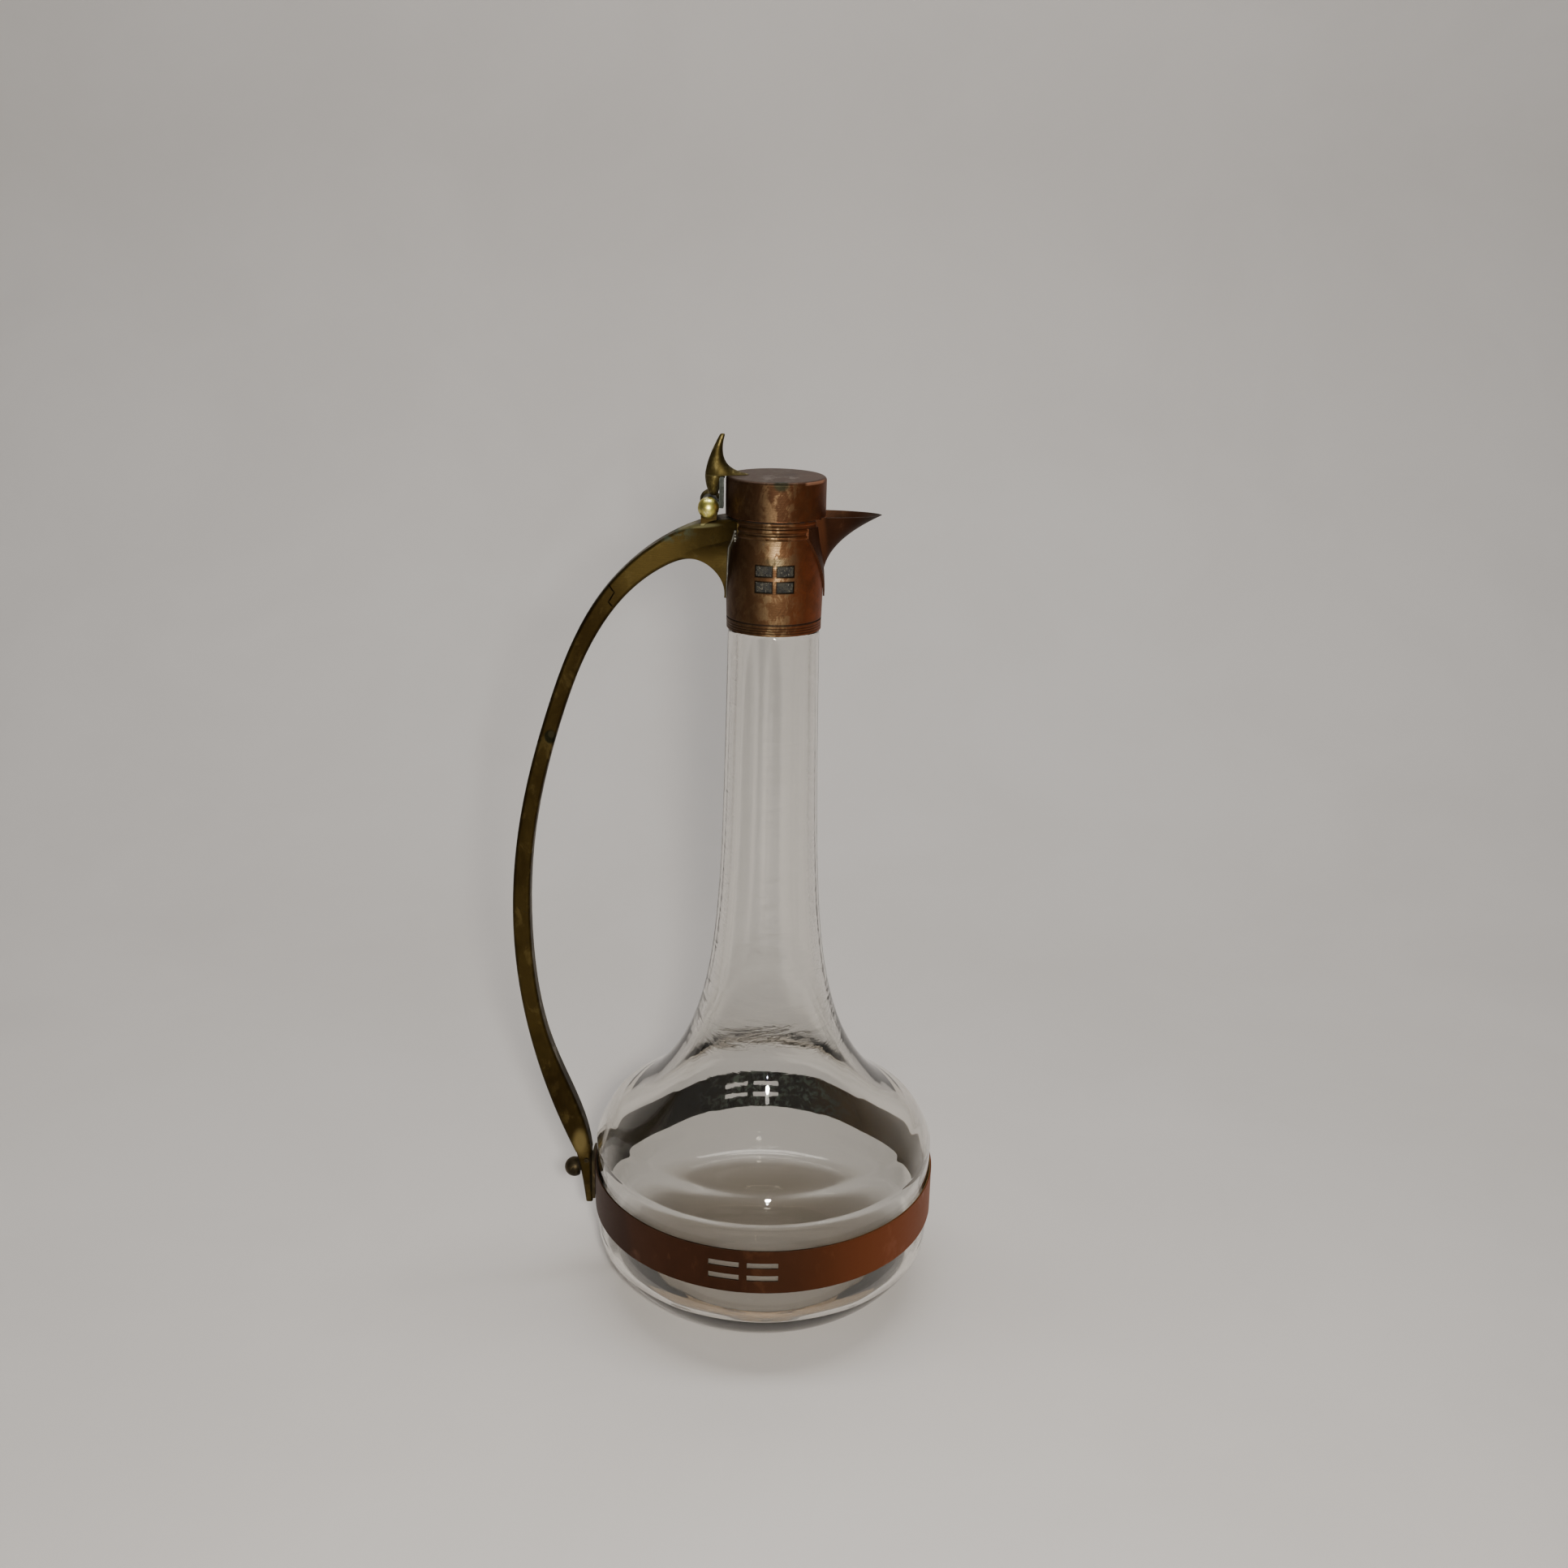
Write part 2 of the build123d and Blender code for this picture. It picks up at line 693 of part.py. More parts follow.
def make_thumbpiece():
    heel_fall = pin_z + knuckle_radius + fit_gap - lid_top_z
    horn = loft([horn_section(heel_fall, *HORN_HEEL)] + [horn_section(*size) for size in HORN_SECTIONS])
    tail = loft([tail_section(*size) for size in TAIL_SECTIONS])
    horn += tail
    leaf_top_z = lid_top_z - leaf_top_drop + fit_gap
    leaf_back = lid_radius + leaf_stand_off + leaf_thickness + fit_gap
    hinge_side = (Align.MAX, Align.CENTER, Align.MIN)
    leaf_space = Box(leaf_back, 2 * saddle_width, leaf_top_z, align=hinge_side)
    return horn - leaf_space - disc(lid_radius, lid_bottom_z, lid_top_z)


def make_nodes():
    blank = handle_blank()
    upper = make_handle_upper(blank)
    lower = make_handle_lower(blank)
    pin = make_hinge_pin()
    return {
        "glass_body": make_glass_body(),
        "neck_cement": make_neck_cement(),
        "collar": make_collar(),
        "spout": make_spout(),
        "handle_upper": upper,
        "handle_lower": lower,
        "hinge_pin": pin,
        "hinge_ball_front": make_hinge_ball(-1, pin, upper),
        "hinge_ball_rear": make_hinge_ball(1, pin, upper),
        "belly_band": make_belly_band(),
        "band_lug": make_band_lug(),
        "clamp_screw": make_clamp_screw(),
        "foot_pin": make_foot_pin(),
        "lid": make_lid(),
        "lid_seat_ring": make_lid_seat_ring(),
        "hinge_leaf": make_hinge_leaf(),
        "thumbpiece": make_thumbpiece(),
    }


os.makedirs("parts", exist_ok=True)
for name, shape in make_nodes().items():
    export_step(shape, f"parts/{name}.step")
    print(name, len(shape.solids()), round(shape.volume, 1))
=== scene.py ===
import math

import bmesh
import bpy
from mathutils import Matrix, Vector


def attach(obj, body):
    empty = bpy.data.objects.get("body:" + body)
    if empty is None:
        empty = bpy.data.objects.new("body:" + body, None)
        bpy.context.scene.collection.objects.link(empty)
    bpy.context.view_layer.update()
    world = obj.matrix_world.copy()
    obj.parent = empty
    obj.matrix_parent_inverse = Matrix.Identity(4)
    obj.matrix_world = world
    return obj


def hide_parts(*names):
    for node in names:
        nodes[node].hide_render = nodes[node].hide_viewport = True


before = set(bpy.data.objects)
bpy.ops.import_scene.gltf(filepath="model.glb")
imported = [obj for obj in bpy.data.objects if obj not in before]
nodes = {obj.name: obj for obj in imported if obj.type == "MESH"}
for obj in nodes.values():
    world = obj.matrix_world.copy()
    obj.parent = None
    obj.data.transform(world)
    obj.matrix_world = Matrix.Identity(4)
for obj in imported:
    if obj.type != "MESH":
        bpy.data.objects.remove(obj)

# A claret jug: a clear glass body with patinated copper mounts, an aged brass
# bow handle, and a copper lid that hinges on a pin between two brass balls.

MM = 0.001
SCENE = bpy.context.scene
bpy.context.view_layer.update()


# Shader building

def put(tree, kind, **settings):
    """A new shader node of a kind, with its settings."""
    node = tree.nodes.new(kind)
    for name, value in settings.items():
        setattr(node, name, value)
    return node


def feed(tree, socket, value):
    """Sets a socket to a value, or links another node's output to it."""
    if isinstance(value, bpy.types.NodeSocket):
        tree.links.new(value, socket)
    else:
        socket.default_value = value


def grain(tree, place, scale, detail=4.0, rough=0.55, twist=0.0):
    """Noise from 0 to 1 at so many features a metre."""
    node = put(tree, "ShaderNodeTexNoise")
    feed(tree, node.inputs["Vector"], place)
    feed(tree, node.inputs["Scale"], scale)
    node.inputs["Detail"].default_value = detail
    node.inputs["Roughness"].default_value = rough
    node.inputs["Distortion"].default_value = twist
    return node.outputs["Fac"]


def between(tree, value, low, high, start=0.0, end=1.0):
    """A soft step that goes from start to end while the value goes from low to high."""
    node = put(tree, "ShaderNodeMapRange", interpolation_type="SMOOTHSTEP", clamp=True)
    ends = {"Value": value, "From Min": low, "From Max": high, "To Min": start, "To Max": end}
    for name, number in ends.items():
        feed(tree, node.inputs[name], number)
    return node.outputs["Result"]


def reckon(tree, operation, first, second=0.0, clamp=False):
    """Two numbers put together."""
    node = put(tree, "ShaderNodeMath", operation=operation, use_clamp=clamp)
    feed(tree, node.inputs[0], first)
    feed(tree, node.inputs[1], second)
    return node.outputs[0]


def tint(tree, amount, under, over):
    """One colour laid over another."""
    node = put(tree, "ShaderNodeMix", data_type="RGBA")
    for number, value in ((0, amount), (6, under), (7, over)):
        feed(tree, node.inputs[number], value)
    return node.outputs[2]


def stretched(tree, place, size, middle=(0, 0, 0), turn=(0, 0, 0)):
    """Object coordinates centred on a point, turned and stretched."""
    node = put(tree, "ShaderNodeMapping", vector_type="TEXTURE")
    feed(tree, node.inputs["Vector"], place)
    node.inputs["Location"].default_value = [value * MM for value in middle]
    node.inputs["Rotation"].default_value = [math.radians(value) for value in turn]
    node.inputs["Scale"].default_value = size
    return node.outputs["Vector"]


def strip(tree, value, low, high, soft):
    """1 while the value is between low and high, falling to 0 over a soft width outside."""
    rise = between(tree, value, low - soft, low)
    fall = between(tree, value, high, high + soft, 1.0, 0.0)
    return reckon(tree, "MULTIPLY", rise, fall)


def nearness(tree, place, middle, radii, soft, turn=(0, 0, 0)):
    """1 inside a turned ellipsoid with these radii in millimetres, falling to 0 outside."""
    ball = stretched(tree, place, [radius * MM for radius in radii], middle, turn)
    length = put(tree, "ShaderNodeVectorMath", operation="LENGTH")
    feed(tree, length.inputs[0], ball)
    return between(tree, length.outputs["Value"], 1 - soft, 1 + soft, 1.0, 0.0)


def recipe(name, inputs, outputs):
    """An empty shader group with named sockets."""
    tree = bpy.data.node_groups.new(name, "ShaderNodeTree")
    for label, kind, value in inputs:
        socket = tree.interface.new_socket(label, in_out="INPUT", socket_type=kind)
        if value is not None:
            socket.default_value = value
    for label, kind in outputs:
        tree.interface.new_socket(label, in_out="OUTPUT", socket_type=kind)
    return tree, put(tree, "NodeGroupInput"), put(tree, "NodeGroupOutput")


def use(tree, group, **inputs):
    """A shader group placed in a material, with its own values."""
    node = put(tree, "ShaderNodeGroup", node_tree=group)
    for name, value in inputs.items():
        feed(tree, node.inputs[name.replace("_", " ")], value)
    return node.outputs


NUMBER = "NodeSocketFloat"
VECTOR = "NodeSocketVector"


def rubbed_edge_group():
    """Where hands and cloths have rubbed the corners bright."""
    tree, given, made = recipe(
        "rubbed edge",
        [("Place", VECTOR, None), ("Width", NUMBER, 0.0006), ("Breaks", NUMBER, 220.0)],
        [("Edge", NUMBER)],
    )
    rounded = put(tree, "ShaderNodeBevel", samples=6)
    feed(tree, rounded.inputs["Radius"], given.outputs["Width"])
    true_face = put(tree, "ShaderNodeNewGeometry")
    alike = put(tree, "ShaderNodeVectorMath", operation="DOT_PRODUCT")
    feed(tree, alike.inputs[0], rounded.outputs["Normal"])
    feed(tree, alike.inputs[1], true_face.outputs["Normal"])
    edge = between(tree, alike.outputs["Value"], 0.8, 0.98, 1.0, 0.0)
    broken = between(tree, grain(tree, given.outputs["Place"], given.outputs["Breaks"], 3.0), 0.36, 0.6)
    feed(tree, made.inputs["Edge"], reckon(tree, "MULTIPLY", edge, broken))
    return tree


def dirt_and_shade_group():
    """Old dirt and polish where a cloth doesn't reach, found by ambient occlusion, so it also paints shade
    into corners and recesses.
    """
    tree, given, made = recipe(
        "dirt and shade",
        [("Place", VECTOR, None), ("Reach", NUMBER, 0.002), ("Amount", NUMBER, 1.0)],
        [("Dirt and shade", NUMBER)],
    )
    corner = put(tree, "ShaderNodeAmbientOcclusion", samples=6)
    feed(tree, corner.inputs["Distance"], given.outputs["Reach"])
    deep = between(tree, corner.outputs["AO"], 0.35, 0.85, 1.0, 0.0)
    patchy = between(tree, grain(tree, given.outputs["Place"], 380.0, 4.0), 0.2, 0.6)
    both = reckon(tree, "MULTIPLY", deep, patchy)
    feed(tree, made.inputs["Dirt and shade"], reckon(tree, "MULTIPLY", both, given.outputs["Amount"], True))
    return tree


def cloudy_group():
    """Soft clouds of tone, as a patina has, from broad to fine."""
    tree, given, made = recipe(
        "cloudy tone",
        [("Place", VECTOR, None), ("Scale", NUMBER, 40.0), ("Low", NUMBER, 0.4), ("High", NUMBER, 0.6)],
        [("Cloud", NUMBER)],
    )
    broad = grain(tree, given.outputs["Place"], given.outputs["Scale"], 5.0, 0.6, 0.4)
    feed(tree, made.inputs["Cloud"], between(tree, broad, given.outputs["Low"], given.outputs["High"]))
    return tree


def specks_group():
    """Small spots of corrosion."""
    tree, given, made = recipe(
        "specks",
        [("Place", VECTOR, None), ("Scale", NUMBER, 500.0), ("Size", NUMBER, 0.22), ("Crowd", NUMBER, 0.55)],
        [("Specks", NUMBER)],
    )
    cells = put(tree, "ShaderNodeTexVoronoi")
    feed(tree, cells.inputs["Vector"], given.outputs["Place"])
    feed(tree, cells.inputs["Scale"], given.outputs["Scale"])
    edge = reckon(tree, "ADD", given.outputs["Size"], 0.12)
    spot = between(tree, cells.outputs["Distance"], given.outputs["Size"], edge, 1.0, 0.0)
    where = between(tree, grain(tree, given.outputs["Place"], 90.0, 3.0), given.outputs["Crowd"], 0.8)
    feed(tree, made.inputs["Specks"], reckon(tree, "MULTIPLY", spot, where))
    return tree


def scratches_group():
    """Fine rubbing marks that cross each other, and faint dents, as a height."""
    tree, given, made = recipe(
        "scratches and dents",
        [("Place", VECTOR, None), ("Dents", NUMBER, 0.4), ("Scratches", NUMBER, 0.3)],
        [("Height", NUMBER), ("Marks", NUMBER)],
    )
    place = given.outputs["Place"]
    along = grain(tree, stretched(tree, place, (9, 9, 1)), 2600.0, 2.0)
    across = grain(tree, stretched(tree, place, (1, 7, 7), turn=(20, 35, 0)), 2200.0, 2.0)
    marks = reckon(tree, "MULTIPLY", along, across)
    dents = grain(tree, place, 70.0, 2.0, 0.4)
    height = reckon(tree, "MULTIPLY", dents, given.outputs["Dents"])
    fine = reckon(tree, "MULTIPLY", marks, given.outputs["Scratches"])
    feed(tree, made.inputs["Height"], reckon(tree, "ADD", height, fine))
    feed(tree, made.inputs["Marks"], marks)
    return tree


RUBBED_EDGE = rubbed_edge_group()
DIRT_AND_SHADE = dirt_and_shade_group()
CLOUDY = cloudy_group()
SPECKS = specks_group()
SCRATCHES = scratches_group()


# Metals

def new_finish(name):
    """A material with a Principled shader, and its Object coordinates."""
    finish = bpy.data.materials.new(name)
    finish.use_nodes = True
    tree = finish.node_tree
    tree.nodes.clear()
    shader = put(tree, "ShaderNodeBsdfPrincipled")
    result = put(tree, "ShaderNodeOutputMaterial")
    tree.links.new(shader.outputs["BSDF"], result.inputs["Surface"])
    place = put(tree, "ShaderNodeTexCoord").outputs["Object"]
    return finish, tree, shader, place


def new_metal(name):
    """A bare metal that layers are put on: its shader, coordinates and axes."""
    finish, tree, shader, place = new_finish(name)
    axes = put(tree, "ShaderNodeSeparateXYZ")
    feed(tree, axes.inputs[0], place)
    metal = {"finish": finish, "tree": tree, "shader": shader, "place": place}
    metal.update({axis: axes.outputs[axis] for axis in "XYZ"})
    return metal


def stain(metal, mask, colour, dulls=0.0):
    """Lays a colour on the metal where a mask is, and dulls it there by so much."""
    tree = metal["tree"]
    metal["tone"] = tint(tree, mask, metal["tone"], colour)
    if dulls:
        metal["dull"] = reckon(tree, "MAXIMUM", metal["dull"], reckon(tree, "MULTIPLY", mask, dulls))


def patina(metal, deep, middle, bright, clouds, patches, share, reach=None):
    """Clouds of patina from deep to middle, with small bright patches.

    With a reach, the patches are brightest within so many millimetres of the upright line at
    FRONT_HIGHLIGHT_X, in front: a painted highlight where the key light falls.
    """
    tree = metal["tree"]
    place = metal["place"]
    tall = stretched(tree, place, (1, 1, 1.8))
    broad = use(tree, CLOUDY, Place=tall, Scale=clouds, Low=0.36, High=0.64)["Cloud"]
    fine = use(tree, CLOUDY, Place=place, Scale=clouds * 5, Low=0.3, High=0.72)["Cloud"]
    shifted = stretched(tree, place, (1, 1, 1.6), (31, 17, 5))
    rubbed = use(tree, CLOUDY, Place=shifted, Scale=patches, Low=share, High=share + 0.14)["Cloud"]
    metal["fine"] = fine
    metal["shine"] = reckon(tree, "MULTIPLY", rubbed, between(tree, broad, 0.0, 0.7, 0.35, 1.0))
    # Painted highlight: the bright patches are kept to an upright column at the front, facing the key light.
    if reach:
        near = strip(tree, metal["X"], (FRONT_HIGHLIGHT_X - reach) * MM, (FRONT_HIGHLIGHT_X + reach) * MM, 5 * MM)
        near = reckon(tree, "MULTIPLY", near, between(tree, metal["Y"], -4 * MM, 4 * MM, 1.0, 0.3))
        metal["shine"] = reckon(tree, "MULTIPLY", metal["shine"], between(tree, near, 0.0, 1.0, 0.2, 1.0))
    tone = tint(tree, broad, deep, middle)
    tone = tint(tree, reckon(tree, "MULTIPLY", fine, 0.3), tone, deep)
    metal["tone"] = tint(tree, reckon(tree, "MULTIPLY", metal["shine"], 0.75), tone, bright)


def weather(metal, edge_tone, edge_share, dirt_and_shade_tone, specks=0.7):
    """Worn edges, dirt and painted shade in the corners, and small spots of corrosion."""
    tree = metal["tree"]
    place = metal["place"]
    edge = use(tree, RUBBED_EDGE, Place=place, Width=0.0005, Breaks=240.0)["Edge"]
    # Ambient occlusion darkens the corners and recesses: dirt there, and painted shade.
    metal["dull"] = use(tree, DIRT_AND_SHADE, Place=place, Reach=0.0018, Amount=0.9)["Dirt and shade"]
    spots = use(tree, SPECKS, Place=place, Scale=600.0, Size=0.17, Crowd=0.55)["Specks"]
    stain(metal, reckon(tree, "MULTIPLY", edge, edge_share), edge_tone)
    stain(metal, metal["dull"], dirt_and_shade_tone)
    stain(metal, reckon(tree, "MULTIPLY", spots, specks), dirt_and_shade_tone, 1.0)


def settle(metal, gloss, relief=0.35):
    """Joins the layers to the shader: smooth where rubbed, rough and less metallic where dull."""
    tree = metal["tree"]
    shader = metal["shader"]
    marks = use(tree, SCRATCHES, Place=metal["place"], Dents=0.5, Scratches=0.35)
    rough = between(tree, metal["shine"], 0.0, 1.0, gloss + 0.14, gloss)
    rough = reckon(tree, "ADD", rough, reckon(tree, "MULTIPLY", marks["Marks"], 0.1))
    rough = reckon(tree, "ADD", rough, reckon(tree, "MULTIPLY", metal["dull"], 0.3), True)
    feed(tree, shader.inputs["Base Color"], metal["tone"])
    feed(tree, shader.inputs["Roughness"], rough)
    feed(tree, shader.inputs["Metallic"], between(tree, metal["dull"], 0.0, 1.0, 1.0, 0.5))
    height = marks["Height"]
    if "cuts" in metal:
        height = reckon(tree, "SUBTRACT", height, metal["cuts"])
    raise_surface(tree, shader, height, relief, 0.6)
    return metal["finish"]


def raise_surface(tree, shader, height, depth, strength=1.0):
    """A bump of so many millimetres on the shader's normal."""
    bump = put(tree, "ShaderNodeBump")
    feed(tree, bump.inputs["Height"], height)
    bump.inputs["Distance"].default_value = depth * MM
    bump.inputs["Strength"].default_value = strength
    feed(tree, shader.inputs["Normal"], bump.outputs["Normal"])


def redden(metal, colour, share):
    """Turns the right hand side of the metal to a redder, lighter copper: partly its patina, partly a painted
    warm reflection.
    """
    tree = metal["tree"]
    # Redder and lighter to the right: patina and a painted warm reflection.
    right = between(tree, metal["X"], 1 * MM, 15 * MM, 0.0, share)
    stain(metal, reckon(tree, "MULTIPLY", right, between(tree, metal["fine"], 0.0, 1.0, 0.65, 1.0)), colour)


# A dark brown for dirt, and for painted shade in corners and recesses
GRIME_AND_SHADE = (0.02, 0.015, 0.01, 1)
BRONZE = (0.25, 0.165, 0.084, 1)
FRESH_COPPER_AND_REFLECTION = (0.3, 0.08, 0.026, 1)
GREEN = (0.045, 0.07, 0.045, 1)

# Places on the metal, in millimetres
# The upright line at the front where the collar and lid get their painted highlight column
FRONT_HIGHLIGHT_X = 1.5
WINDOW_X, WINDOW_HALF_WIDTH = 3.7, 2.75
WINDOW_Z, WINDOW_RISE, WINDOW_HALF_HEIGHT = 288.5, 2.75, 1.75
SCRIBED_HEIGHTS = [269.2, 270.1, 271.0]
GROOVE_BOTTOM, GROOVE_TOP = 272.05, 272.55
FLANGE_RADIUS = 17.9
BAND_INNER_RADIUS = 66.3
SCARF_STEPS = [(-58.9, 283.4), (-56.6, 280.2), (-58.6, 276.6), (-57.5, 275.2)]
# Lines along the top of the handle's root, where a highlight is painted
ROOT_HIGHLIGHT_LINES = [
    ((-46.5, 298.9), (-37.5, 302.5)),
    ((-38.5, 302.2), (-29.5, 304.3)),
    ((-30.5, 304.1), (-20.5, 305.3)),
]


def past(tree, value, distance):
    """How far a value lies from 0, less a distance in millimetres."""
    return reckon(tree, "SUBTRACT", reckon(tree, "ABSOLUTE", value), distance * MM)


def window_rim_shade(metal):
    """A thin dark ring painted round each window in the collar, in front and behind, and over the walls of
    the openings: painted shade.
    """
    tree = metal["tree"]
    across = past(tree, past(tree, metal["X"], WINDOW_X), WINDOW_HALF_WIDTH)
    up = reckon(tree, "SUBTRACT", metal["Z"], WINDOW_Z * MM)
    up = past(tree, past(tree, up, WINDOW_RISE), WINDOW_HALF_HEIGHT)
    return between(tree, reckon(tree, "MAXIMUM", across, up), 0.15 * MM, 0.7 * MM, 1.0, 0.0)


def collar_finish():
    """Brown copper with golden patches kept to the front as a painted highlight, a redder right side that is
    partly patina and partly a painted warm reflection, dark window rims painted as shade, and fine lines
    scribed near the bottom.
    """
    metal = new_metal("collar copper")
    tree = metal["tree"]
    # Golden patches kept to a column at the front: a painted highlight.
    patina(metal, (0.05, 0.025, 0.011, 1), (0.1, 0.051, 0.024, 1), BRONZE, 42.0, 290.0, 0.46, 3.5)
    redden(metal, FRESH_COPPER_AND_REFLECTION, 0.9)
    weather(metal, BRONZE, 0.4, GRIME_AND_SHADE)
    # Painted shade at the edges and walls of the windows.
    stain(metal, window_rim_shade(metal), (0.012, 0.009, 0.006, 1))
    above = nearness(tree, metal["place"], (0.6, -17, 294.6), (4.2, 4, 1.5), 0.7)
    stain(metal, reckon(tree, "MULTIPLY", above, 0.6), (0.045, 0.045, 0.024, 1), 0.3)
    scribed = 0.0
    for height in SCRIBED_HEIGHTS:
        line = strip(tree, metal["Z"], (height - 0.1) * MM, (height + 0.1) * MM, 0.2 * MM)
        scribed = reckon(tree, "MAXIMUM", scribed, line)
    groove = strip(tree, metal["Z"], GROOVE_BOTTOM * MM, GROOVE_TOP * MM, 0.15 * MM)
    cuts = reckon(tree, "MAXIMUM", reckon(tree, "MULTIPLY", scribed, 0.8), groove)
    stain(metal, reckon(tree, "MULTIPLY", cuts, 0.75), (0.025, 0.014, 0.008, 1))
    metal["cuts"] = cuts
    return settle(metal, 0.34)


def lid_finish():
    """Copper with a mauve brown top, a dark mark on it and a green stain under the front edge; golden patches
    kept to the front as a painted highlight, a redder right side that is partly patina and partly a painted
    warm reflection, and a painted highlight on the right of the rim.
    """
    metal = new_metal("lid copper")
    tree = metal["tree"]
    golden = (0.23, 0.15, 0.076, 1)
    # Golden patches kept to a column at the front: a painted highlight.
    patina(metal, (0.042, 0.02, 0.01, 1), (0.078, 0.039, 0.019, 1), golden, 46.0, 280.0, 0.45, 3.5)
    redden(metal, (0.17, 0.05, 0.016, 1), 0.95)
    weather(metal, (0.4, 0.16, 0.08, 1), 0.6, GRIME_AND_SHADE)
    top = between(tree, metal["Z"], 321.2 * MM, 321.95 * MM)
    haze = between(tree, grain(tree, metal["place"], 120.0, 4.0), 0.2, 0.7, 0.7, 0.95)
    stain(metal, reckon(tree, "MULTIPLY", top, haze), (0.085, 0.056, 0.042, 1), 0.1)
    mark = nearness(tree, metal["place"], (5.1, 1.6, 322), (2.4, 3.0, 2), 0.6)
    stain(metal, reckon(tree, "MULTIPLY", mark, 0.6), (0.045, 0.03, 0.024, 1))
    drip = nearness(tree, metal["place"], (1.8, -17.6, 321.2), (2.7, 2.5, 2.1), 0.35)
    stain(metal, reckon(tree, "MULTIPLY", drip, 0.85), (0.016, 0.018, 0.01, 1))
    # Painted highlight: a bright orange line on the right of the lid's rim, where the bevel catches the
    # light.
    rim = strip(tree, metal["Z"], 320.9 * MM, 321.5 * MM, 0.25 * MM)
    rim = reckon(tree, "MULTIPLY", rim, strip(tree, metal["X"], 11 * MM, 15.6 * MM, 1.5 * MM))
    stain(metal, reckon(tree, "MULTIPLY", rim, 0.9), (0.62, 0.3, 0.17, 1))
    return settle(metal, 0.34)


def from_axis(metal):
    """The distance from the jug's upright axis."""
    tree = metal["tree"]
    around = put(tree, "ShaderNodeCombineXYZ")
    feed(tree, around.inputs["X"], metal["X"])
    feed(tree, around.inputs["Y"], metal["Y"])
    reach = put(tree, "ShaderNodeVectorMath", operation="LENGTH")
    feed(tree, reach.inputs[0], around.outputs["Vector"])
    return reach.outputs["Value"]


def band_finish():
    """A smooth band: dark brown at the left, redder copper at the right that is partly patina and partly a
    painted warm reflection, black and green behind, with painted shade on its inner face and a painted golden
    reflection there at the right.
    """
    metal = new_metal("band copper")
    tree = metal["tree"]
    patina(metal, (0.045, 0.019, 0.01, 1), (0.07, 0.028, 0.014, 1), (0.1, 0.042, 0.02, 1), 22.0, 90.0, 0.56)
    # Redder to the right: patina and a painted warm reflection.
    right = between(tree, metal["X"], 5 * MM, 60 * MM)
    stain(metal, reckon(tree, "MULTIPLY", right, 0.9), (0.24, 0.068, 0.022, 1))
    weather(metal, BRONZE, 0.2, GRIME_AND_SHADE, 0.4)
    back = between(tree, metal["Y"], 5 * MM, 35 * MM)
    stain(metal, reckon(tree, "MULTIPLY", back, 0.85), (0.022, 0.024, 0.022, 1), 0.8)
    # Painted shade on the inner face, which lies against the glass.
    inside = between(tree, from_axis(metal), BAND_INNER_RADIUS * MM, (BAND_INNER_RADIUS + 0.2) * MM, 1.0, 0.0)
    stain(metal, reckon(tree, "MULTIPLY", inside, 0.9), (0.03, 0.028, 0.02, 1))
    # Painted reflection: golden glints on the inner face at the right.
    gold = reckon(tree, "MULTIPLY", inside, between(tree, metal["X"], 15 * MM, 45 * MM))
    stain(metal, reckon(tree, "MULTIPLY", gold, 0.8), (0.3, 0.2, 0.08, 1))
    slots = nearness(tree, metal["place"], (8, 66, 43.3), (34, 14, 12), 0.6)
    crust = between(tree, grain(tree, metal["place"], 260.0, 6.0, 0.7, 0.5), 0.47, 0.6)
    slots = reckon(tree, "MULTIPLY", slots, between(tree, inside, 0.0, 1.0, 0.12, 1.0))
    stain(metal, reckon(tree, "MULTIPLY", slots, crust), (0.24, 0.31, 0.26, 1), 1.0)
    return settle(metal, 0.4, 0.2)


def spout_finish():
    """Dark red copper, near black at the tip of the bill, with painted shade inside the bill's channel."""
    metal = new_metal("spout copper")
    tree = metal["tree"]
    patina(metal, (0.03, 0.013, 0.007, 1), (0.06, 0.023, 0.011, 1), (0.1, 0.045, 0.022, 1), 40.0, 170.0, 0.56)
    weather(metal, (0.1, 0.05, 0.025, 1), 0.4, GRIME_AND_SHADE)
    # Painted shade inside the open channel of the bill, found by ambient occlusion.
    channel_shade = use(tree, DIRT_AND_SHADE, Place=metal["place"], Reach=0.012, Amount=1.0)["Dirt and shade"]
    bill = between(tree, metal["X"], 17 * MM, 19 * MM)
    stain(metal, reckon(tree, "MULTIPLY", channel_shade, bill), GRIME_AND_SHADE)
    flange = between(tree, from_axis(metal), FLANGE_RADIUS * MM, (FLANGE_RADIUS + 1.6) * MM, 0.9, 0.0)
    stain(metal, flange, (0.085, 0.031, 0.014, 1))
    tip = between(tree, metal["X"], 27 * MM, 37 * MM)
    stain(metal, reckon(tree, "MULTIPLY", tip, 0.8), (0.03, 0.022, 0.016, 1), 0.4)
    return settle(metal, 0.38)


def seams(metal, lines, thick):
    """Lines so thick between pairs of points on the handle's flanks, given as X and Z."""
    tree = metal["tree"]
    mask = 0.0
    for (x0, z0), (x1, z1) in lines:
        half = math.hypot(x1 - x0, z1 - z0) / 2
        tilt = -math.degrees(math.atan2(z1 - z0, x1 - x0))
        middle = ((x0 + x1) / 2, 0, (z0 + z1) / 2)
        line = nearness(tree, metal["place"], middle, (half + thick, 40, thick), 0.4, (0, tilt, 0))
        mask = reckon(tree, "MAXIMUM", mask, line)
    return mask


